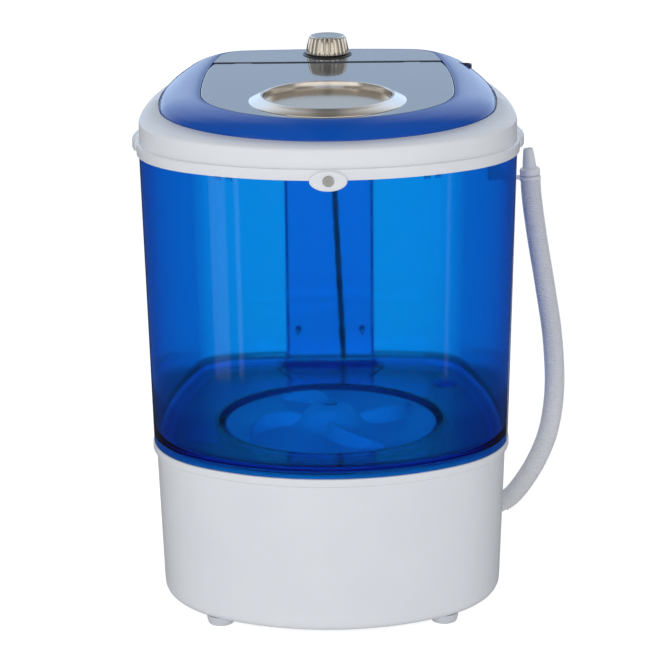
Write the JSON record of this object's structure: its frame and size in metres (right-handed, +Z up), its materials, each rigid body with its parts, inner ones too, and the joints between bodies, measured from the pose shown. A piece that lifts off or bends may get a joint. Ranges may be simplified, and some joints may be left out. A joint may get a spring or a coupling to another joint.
{
  "type": "portable washing machine",
  "caption": "Portable mini washing machine: clear tub on a round-fronted base, hinged lid, timer knob, belt-driven pulsator and a ribbed drain hose clipped up at its side.",
  "frame": {"origin": "on the floor plane under the four feet, on the vertical drive axis of the pulsator", "axes": "+Z up along the pulsator's drive axis, -Y towards the front of the machine, +X towards the side with the drain hose"},
  "size_m": [0.4273, 0.3867, 0.5235],
  "materials": {
    "white_plastic": "satin moulded white plastic",
    "grey_plastic": "matt grey plastic",
    "foot_rubber": "pale grey rubber",
    "steel": "zinc-plated steel",
    "clear_blue": "clear blue moulded plastic",
    "blue_plastic": "gloss deep-blue plastic",
    "panel_plastic": "gloss blue-grey plastic",
    "navy_plastic": "gloss navy plastic",
    "black_plastic": "matt black plastic",
    "knob_plastic": "satin grey plastic",
    "hose_plastic": "translucent white flexible plastic",
    "black_rubber": "black rubber",
    "bezel_metal": "satin metallic ring",
    "aluminium": "die-cast aluminium",
    "bronze": "sintered bronze and copper"
  },
  "bodies": {
    "machine": {"base_shell": "white_plastic", "base_plate": "grey_plastic", "feet": "foot_rubber", "foot_screws": "steel", "tub": "clear_blue", "rear_cover": "white_plastic", "rear_cover_screws": "steel", "wiring_loom": "black_plastic", "top_ring": "white_plastic", "front_screw": "steel", "top_cover": "blue_plastic", "control_panel": "panel_plastic", "knob_ring": "black_plastic", "timer_housing": "white_plastic", "timer_body": "black_plastic", "water_inlet": "navy_plastic", "hinge_pins": "steel", "drain_grate": "navy_plastic", "drain_elbow": "white_plastic", "drain_hose": "hose_plastic", "hose_clamp": "steel", "drain_nozzle": "hose_plastic", "hose_holder": "white_plastic", "cable_gland": "black_rubber", "drive_bracket": "steel", "bracket_screws": "steel", "bearing_housing": "aluminium", "shaft_bushes": "bronze", "shaft_seal": "black_rubber", "motor_housing": "aluminium", "motor_stator": "bronze", "drive_belt": "black_rubber", "capacitor": "grey_plastic", "capacitor_clip": "steel"},
    "lid": {"lid_panel": "panel_plastic", "lid_bezel": "bezel_metal", "lid_dish": "grey_plastic", "lid_liner": "white_plastic"},
    "knob": {"timer_knob": "knob_plastic", "timer_spindle": "steel"},
    "agitator": {"pulsator": "navy_plastic", "pulsator_screw": "steel", "drive_shaft": "steel", "drive_pulley": "black_plastic", "pulley_nut": "steel"},
    "rotor": {"motor_rotor": "steel", "motor_pulley": "black_plastic", "motor_fan": "black_plastic"}
  },
  "joints": [
    {"name": "lid_hinge", "type": "hinge", "parent": "machine", "child": "lid", "pos_m": [0, 0.12235, 0.49802], "axis": [-1, 0, 0], "range_deg": [0, 100]},
    {"name": "timer_turn", "type": "hinge", "parent": "machine", "child": "knob", "pos_m": [0, 0.16479, 0.5034], "axis": [0, 0.0349, -0.9994], "range_deg": [0, 300]},
    {"name": "rotor_spin", "type": "hinge", "parent": "machine", "child": "rotor", "pos_m": [-0.1, 0, 0.1], "axis": [0, 0, 1], "continuous": true},
    {"name": "pulsator_spin", "type": "hinge", "parent": "machine", "child": "agitator", "pos_m": [0, 0, 0.1], "axis": [0, 0, 1], "continuous": true}
  ],
  "couplings": [
    {"joint": "pulsator_spin", "follows": "rotor_spin", "ratio": 0.2063}
  ]
}
